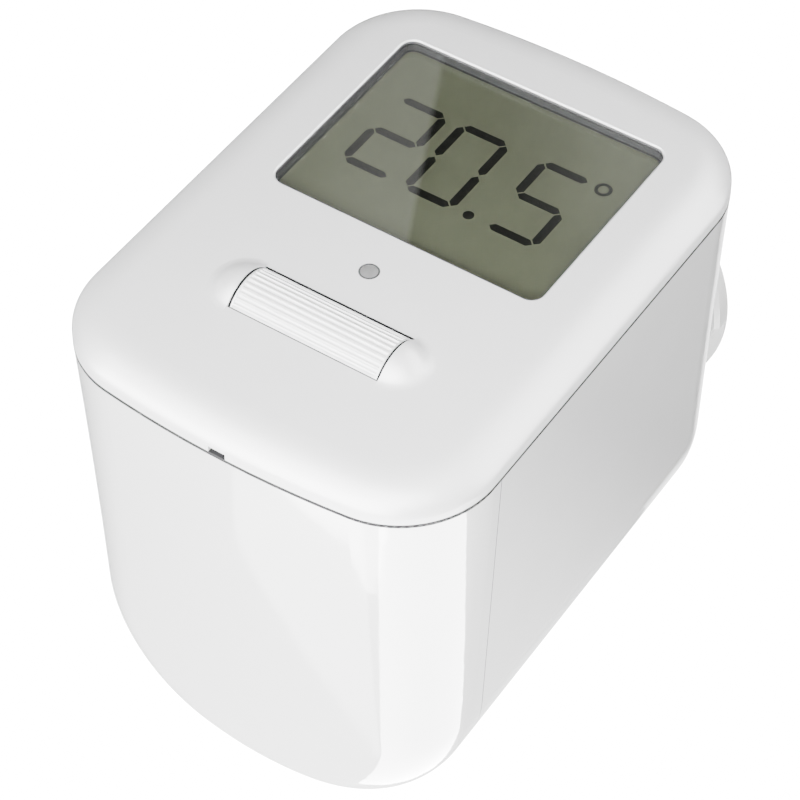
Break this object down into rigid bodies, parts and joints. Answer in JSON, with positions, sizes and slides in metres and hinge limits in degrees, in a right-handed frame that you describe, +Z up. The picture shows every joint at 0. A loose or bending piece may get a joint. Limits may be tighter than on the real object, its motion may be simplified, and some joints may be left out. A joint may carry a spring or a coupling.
{
  "type": "thermostatic radiator valve head",
  "caption": "Battery radiator thermostat head with display, press-and-turn thumb wheel, pull-off front cap, geared push pin and M30 union nut.",
  "frame": {"origin": "centre of the union nut's mouth, on the valve axis", "axes": "+Y along the valve axis out of the nut towards the radiator valve, +Z up through the display face, +X to the right seen from the front"},
  "size_m": [0.0574, 0.09, 0.0735],
  "materials": {
    "white_satin_plastic": "satin moulded",
    "white_gloss_plastic": "gloss moulded",
    "wheel_plastic": "satin moulded",
    "clear_pane": "clear",
    "display_glass": "clear with grey-green polariser",
    "display_mirror": "satin foil",
    "inner_plastic": "moulded",
    "light_pipe": "frosted",
    "elastomer": "soft",
    "circuit_board": "solder mask",
    "chip": "moulded epoxy",
    "gear_plastic": "acetal",
    "dark_plastic": "moulded",
    "steel": "bright steel",
    "plated_metal": "nickel plated brass",
    "brass": "turned",
    "cell_jacket": "printed sleeve"
  },
  "bodies": {
    "base": {"main_housing": "white_gloss_plastic", "top_cover": "white_satin_plastic", "display_window": "clear_pane", "lcd_front_glass": "display_glass", "lcd_rear_glass": "display_glass", "lcd_reflector": "display_mirror", "lcd_frame": "inner_plastic", "contact_strip": "elastomer", "main_board": "circuit_board", "microcontroller": "chip", "radio_module": "steel", "status_led": "light_pipe", "light_guide": "light_pipe", "hall_sensor": "chip", "board_screws": "steel", "switch_body": "dark_plastic", "carrier_spring_left": "steel", "carrier_spring_right": "steel", "battery_tray": "inner_plastic", "battery_left": "cell_jacket", "battery_right": "cell_jacket", "positive_contact": "plated_metal", "negative_contact": "plated_metal", "contact_spring": "steel", "motor_case": "steel", "motor_end_cap": "dark_plastic", "gearbox_base": "inner_plastic", "gearbox_lid": "inner_plastic", "gearbox_screws": "steel", "mounting_screws": "steel", "first_gear_axle": "steel", "second_gear_axle": "steel", "valve_collar": "inner_plastic", "retaining_ring": "steel"},
    "cap": {"front_cap": "white_gloss_plastic", "bridge_contact": "plated_metal", "bridge_spring": "steel"},
    "carrier": {"wheel_carrier": "inner_plastic", "switch_plunger": "dark_plastic"},
    "wheel": {"setting_wheel": "wheel_plastic", "wheel_axle": "steel", "encoder_magnet": "chip"},
    "nut": {"union_nut": "plated_metal", "nut_grip": "inner_plastic"},
    "output": {"output_gear": "gear_plastic", "spindle_nut": "brass"},
    "second": {"second_gear": "gear_plastic"},
    "first": {"first_gear": "gear_plastic"},
    "rotor": {"motor_shaft": "steel", "motor_pinion": "brass"},
    "pin": {"push_pin": "inner_plastic", "spindle": "steel"}
  },
  "joints": [
    {"name": "cap_slide", "type": "slide", "parent": "base", "child": "cap", "axis": [0, -1, 0], "range_m": [0, 0.03]},
    {"name": "wheel_press", "type": "slide", "parent": "base", "child": "carrier", "axis": [0, 0, -1], "range_m": [0, 0.0005], "stiffness_N_per_m": 1500, "springref_m": -0.0008, "deforming": ["carrier_spring_left", "carrier_spring_right"]},
    {"name": "wheel_turn", "type": "hinge", "parent": "carrier", "child": "wheel", "pos_m": [0, -0.06937, 0.03693], "axis": [1, 0, 0], "continuous": true},
    {"name": "nut_turn", "type": "hinge", "parent": "base", "child": "nut", "pos_m": [0, 0, 0], "axis": [0, 1, 0], "continuous": true},
    {"name": "output_turn", "type": "hinge", "parent": "base", "child": "output", "pos_m": [0, 0, 0], "axis": [0, 1, 0], "range_deg": [0, 1032]},
    {"name": "second_turn", "type": "hinge", "parent": "base", "child": "second", "pos_m": [-0.009, 0, 0.012], "axis": [0, 1, 0], "range_deg": [-4128, 0]},
    {"name": "first_turn", "type": "hinge", "parent": "base", "child": "first", "pos_m": [0.004, 0, 0.012], "axis": [0, 1, 0], "range_deg": [0, 13760]},
    {"name": "motor_turn", "type": "hinge", "parent": "base", "child": "rotor", "pos_m": [0.0132, 0, 0.0051], "axis": [0, 1, 0], "range_deg": [-49536, 0]},
    {"name": "pin_slide", "type": "slide", "parent": "base", "child": "pin", "axis": [0, 1, 0], "range_m": [0, 0.0043]}
  ],
  "couplings": [
    {"joint": "second_turn", "follows": "output_turn", "ratio": -4},
    {"joint": "first_turn", "follows": "output_turn", "ratio": 13.333},
    {"joint": "motor_turn", "follows": "output_turn", "ratio": -48},
    {"joint": "pin_slide", "follows": "output_turn", "m_per_rad": 0.00023873}
  ]
}
